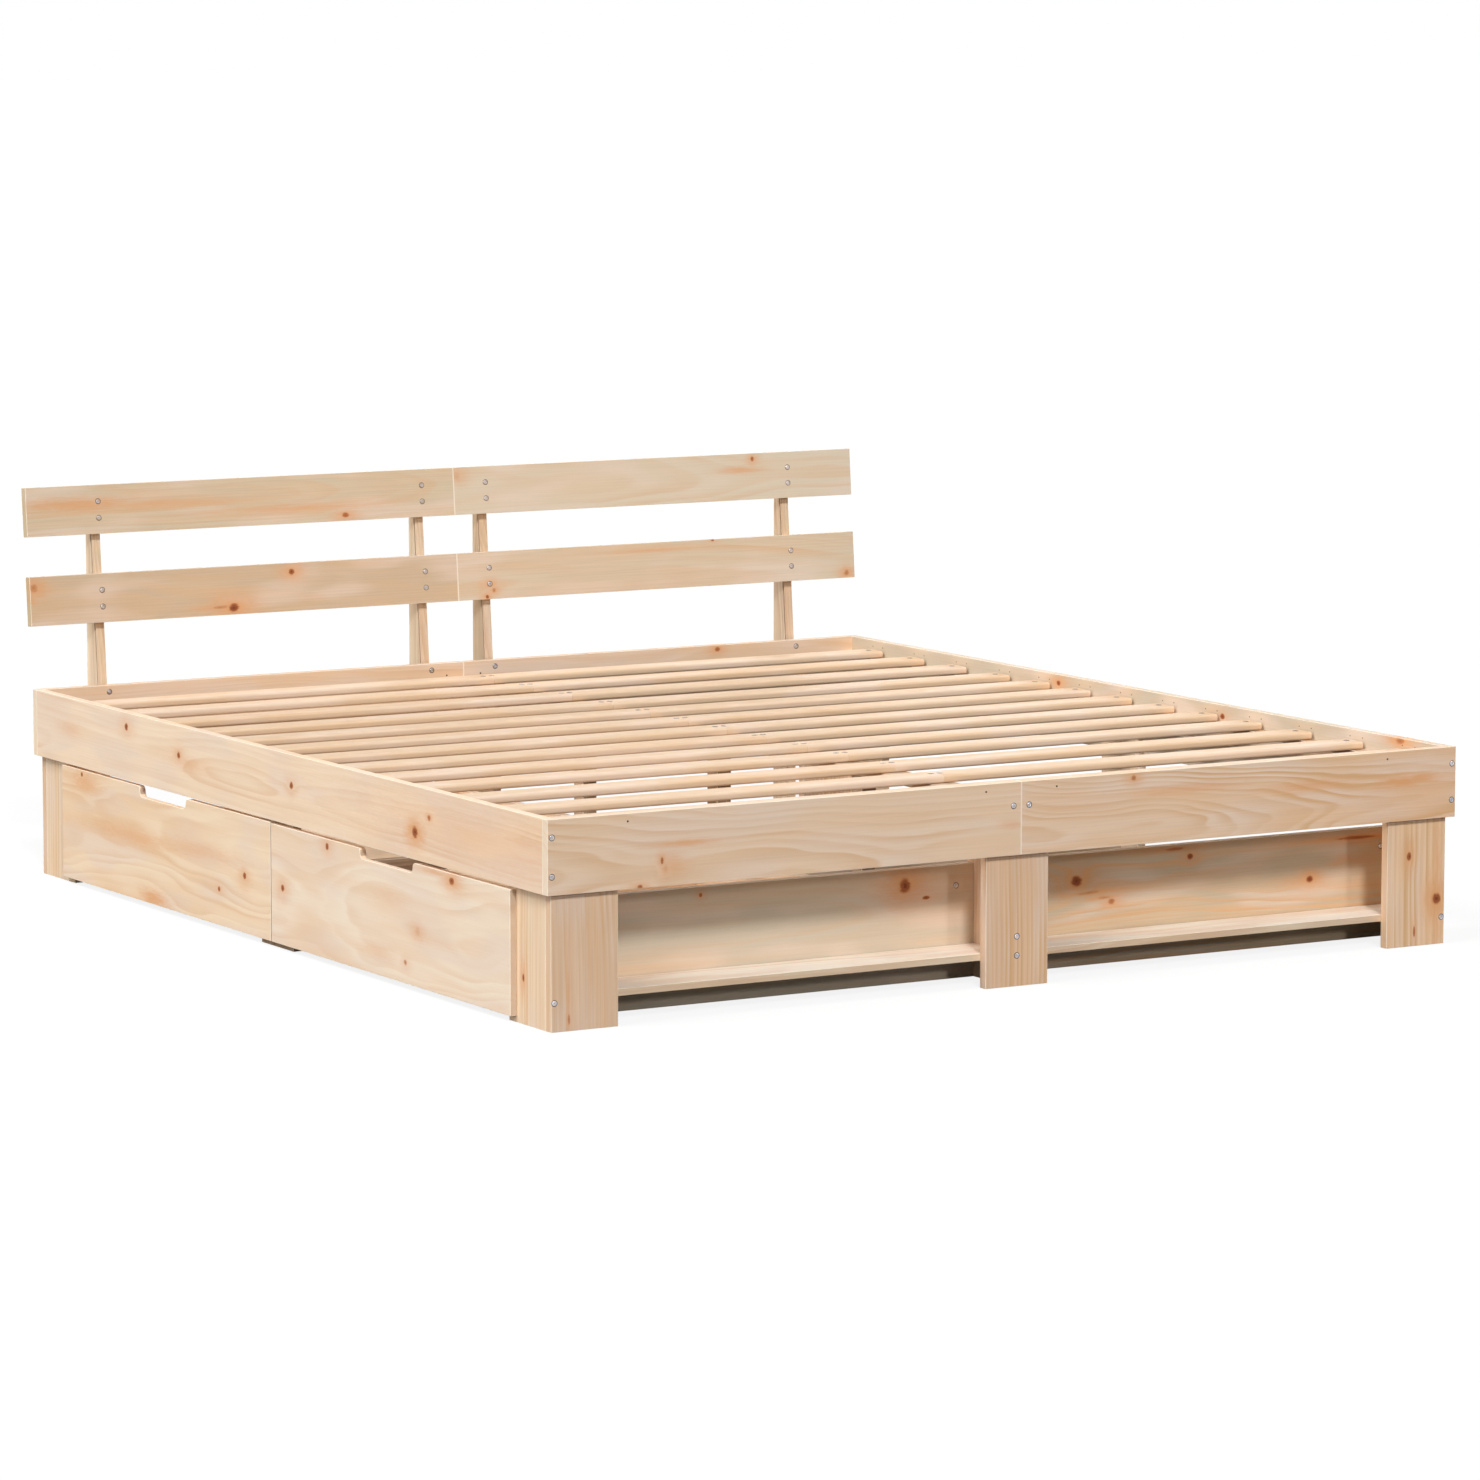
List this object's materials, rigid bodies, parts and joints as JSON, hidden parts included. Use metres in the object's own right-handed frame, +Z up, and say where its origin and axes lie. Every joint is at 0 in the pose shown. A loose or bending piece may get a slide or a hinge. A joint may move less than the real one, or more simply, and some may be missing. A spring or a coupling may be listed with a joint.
{
  "type": "storage bed",
  "caption": "Low slatted pine bed with a leaning board headboard, drawers on castors along the left side and open shelf bays at the foot.",
  "frame": {"origin": "On the floor, under the middle of the bounding box.", "axes": "+X to the right as seen from the foot of the bed, +Y towards the head, +Z up."},
  "size_m": [1.855, 2.115, 0.7431],
  "materials": {
    "rail_pine": "unfinished pine, fine sawn and sanded",
    "leg_pine": "unfinished pine, fine sawn and sanded",
    "support_pine": "unfinished pine, planed",
    "slat_pine": "unfinished pine, planed with rounded edges",
    "shelf_pine": "unfinished pine, fine sawn and sanded",
    "headboard_pine": "unfinished pine, fine sawn and sanded",
    "drawer_pine": "unfinished pine, fine sawn and sanded",
    "bottom_plywood": "thin plywood, sanded",
    "wheel_plastic": "moulded, matt"
  },
  "bodies": {
    "bed_frame": {"foot_rail_left": "rail_pine", "foot_rail_right": "rail_pine", "head_rail_left": "rail_pine", "head_rail_right": "rail_pine", "side_rail_left": "rail_pine", "side_rail_right": "rail_pine", "leg_foot_left": "leg_pine", "leg_foot_centre": "leg_pine", "leg_foot_right": "leg_pine", "leg_head_left": "leg_pine", "leg_head_centre": "leg_pine", "leg_head_right": "leg_pine", "leg_middle_left": "leg_pine", "leg_middle_right": "leg_pine", "slat_ledger_left": "support_pine", "slat_ledger_right": "support_pine", "centre_support": "support_pine", "cross_board_left": "support_pine", "cross_board_right": "support_pine", "slat_row_01": "slat_pine", "slat_row_02": "slat_pine", "slat_row_03": "slat_pine", "slat_row_04": "slat_pine", "slat_row_05": "slat_pine", "slat_row_06": "slat_pine", "slat_row_07": "slat_pine", "slat_row_08": "slat_pine", "slat_row_09": "slat_pine", "slat_row_10": "slat_pine", "slat_row_11": "slat_pine", "slat_row_12": "slat_pine", "slat_row_13": "slat_pine", "foot_shelf_left": "shelf_pine", "foot_shelf_back_left": "shelf_pine", "foot_shelf_right": "shelf_pine", "foot_shelf_back_right": "shelf_pine", "headboard_post_1": "headboard_pine", "headboard_post_2": "headboard_pine", "headboard_post_3": "headboard_pine", "headboard_post_4": "headboard_pine", "headboard_upper_left": "headboard_pine", "headboard_upper_right": "headboard_pine", "headboard_lower_left": "headboard_pine", "headboard_lower_right": "headboard_pine"},
    "drawer_foot": {"drawer_foot_front": "drawer_pine", "drawer_foot_box": "drawer_pine", "drawer_foot_bottom": "bottom_plywood"},
    "drawer_foot_wheel_1_body": {"drawer_foot_wheel_1": "wheel_plastic"},
    "drawer_foot_wheel_2_body": {"drawer_foot_wheel_2": "wheel_plastic"},
    "drawer_foot_wheel_3_body": {"drawer_foot_wheel_3": "wheel_plastic"},
    "drawer_foot_wheel_4_body": {"drawer_foot_wheel_4": "wheel_plastic"},
    "drawer_head": {"drawer_head_front": "drawer_pine", "drawer_head_box": "drawer_pine", "drawer_head_bottom": "bottom_plywood"},
    "drawer_head_wheel_1_body": {"drawer_head_wheel_1": "wheel_plastic"},
    "drawer_head_wheel_2_body": {"drawer_head_wheel_2": "wheel_plastic"},
    "drawer_head_wheel_3_body": {"drawer_head_wheel_3": "wheel_plastic"},
    "drawer_head_wheel_4_body": {"drawer_head_wheel_4": "wheel_plastic"}
  },
  "joints": [
    {"name": "drawer_foot_slide", "type": "slide", "parent": "bed_frame", "child": "drawer_foot", "axis": [-1, 0, 0], "range_m": [0, 0.8]},
    {"name": "drawer_foot_wheel_1_roll", "type": "hinge", "parent": "drawer_foot", "child": "drawer_foot_wheel_1_body", "pos_m": [-0.8272, -0.8162, 0.0163], "axis": [0, -1, 0], "continuous": true},
    {"name": "drawer_foot_wheel_2_roll", "type": "hinge", "parent": "drawer_foot", "child": "drawer_foot_wheel_2_body", "pos_m": [-0.8272, -0.1775, 0.0163], "axis": [0, -1, 0], "continuous": true},
    {"name": "drawer_foot_wheel_3_roll", "type": "hinge", "parent": "drawer_foot", "child": "drawer_foot_wheel_3_body", "pos_m": [-0.1682, -0.8162, 0.0163], "axis": [0, -1, 0], "continuous": true},
    {"name": "drawer_foot_wheel_4_roll", "type": "hinge", "parent": "drawer_foot", "child": "drawer_foot_wheel_4_body", "pos_m": [-0.1682, -0.1775, 0.0163], "axis": [0, -1, 0], "continuous": true},
    {"name": "drawer_head_slide", "type": "slide", "parent": "bed_frame", "child": "drawer_head", "axis": [-1, 0, 0], "range_m": [0, 0.8]},
    {"name": "drawer_head_wheel_1_roll", "type": "hinge", "parent": "drawer_head", "child": "drawer_head_wheel_1_body", "pos_m": [-0.8272, 0.1175, 0.0163], "axis": [0, -1, 0], "continuous": true},
    {"name": "drawer_head_wheel_2_roll", "type": "hinge", "parent": "drawer_head", "child": "drawer_head_wheel_2_body", "pos_m": [-0.8272, 0.7562, 0.0163], "axis": [0, -1, 0], "continuous": true},
    {"name": "drawer_head_wheel_3_roll", "type": "hinge", "parent": "drawer_head", "child": "drawer_head_wheel_3_body", "pos_m": [-0.1682, 0.1175, 0.0163], "axis": [0, -1, 0], "continuous": true},
    {"name": "drawer_head_wheel_4_roll", "type": "hinge", "parent": "drawer_head", "child": "drawer_head_wheel_4_body", "pos_m": [-0.1682, 0.7562, 0.0163], "axis": [0, -1, 0], "continuous": true}
  ],
  "couplings": [
    {"joint": "drawer_foot_wheel_1_roll", "follows": "drawer_foot_slide", "rad_per_m": 62.5},
    {"joint": "drawer_foot_wheel_2_roll", "follows": "drawer_foot_slide", "rad_per_m": 62.5},
    {"joint": "drawer_foot_wheel_3_roll", "follows": "drawer_foot_slide", "rad_per_m": 62.5},
    {"joint": "drawer_foot_wheel_4_roll", "follows": "drawer_foot_slide", "rad_per_m": 62.5},
    {"joint": "drawer_head_wheel_1_roll", "follows": "drawer_head_slide", "rad_per_m": 62.5},
    {"joint": "drawer_head_wheel_2_roll", "follows": "drawer_head_slide", "rad_per_m": 62.5},
    {"joint": "drawer_head_wheel_3_roll", "follows": "drawer_head_slide", "rad_per_m": 62.5},
    {"joint": "drawer_head_wheel_4_roll", "follows": "drawer_head_slide", "rad_per_m": 62.5}
  ]
}
